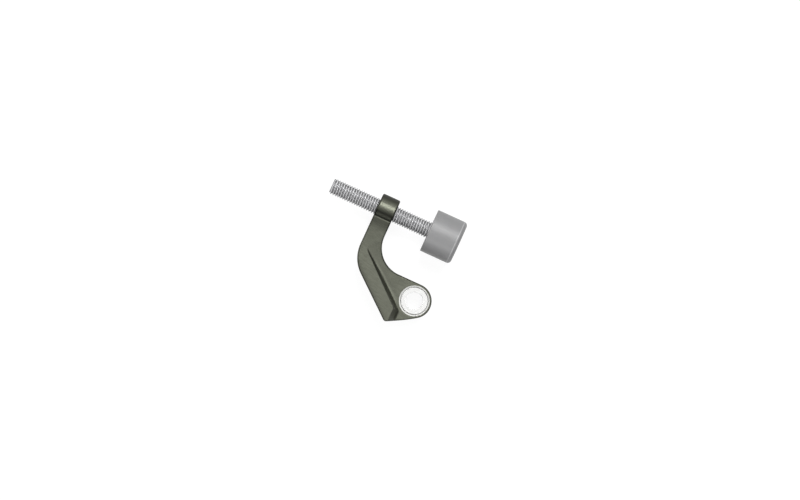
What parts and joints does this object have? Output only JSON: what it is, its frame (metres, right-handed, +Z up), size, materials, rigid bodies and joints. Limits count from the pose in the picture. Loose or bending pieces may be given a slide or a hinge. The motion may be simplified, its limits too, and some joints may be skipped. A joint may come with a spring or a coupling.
{
  "type": "hinge-pin door stop",
  "caption": "Adjustable door stop for a hinge pin: a cast arm with a bushed eye and a raised pad strip, a threaded rod through its boss and a rubber bumper.",
  "frame": {"origin": "on the hinge pin's axis, at the arm's flat underside, which sits on the hinge's knuckle", "axes": "+Z up along the hinge pin, +X along the threaded rod towards the bumper, +Y from the eye towards the rod"},
  "size_m": [0.0665, 0.0584, 0.0212],
  "materials": {
    "arm_metal": "brushed, antique nickel plate",
    "bush_plastic": "moulded nylon",
    "rod_steel": "bright zinc plate",
    "bumper_rubber": "satin grey rubber"
  },
  "bodies": {
    "arm": {"arm": "arm_metal", "pin_bush": "bush_plastic"},
    "bumper": {"bumper": "bumper_rubber"},
    "rod": {"adjusting_screw": "rod_steel"}
  },
  "joints": [
    {"name": "bumper_travel", "type": "slide", "parent": "arm", "child": "bumper", "axis": [1, 0, 0], "range_m": [-0.0176, 0.0221]},
    {"name": "screw_turn", "type": "hinge", "parent": "bumper", "child": "rod", "pos_m": [0, 0.0334, 0.0069], "axis": [1, 0, 0], "range_deg": [-5040, 6336]}
  ],
  "couplings": [
    {"joint": "bumper_travel", "follows": "screw_turn", "m_per_rad": 0.00019894}
  ]
}
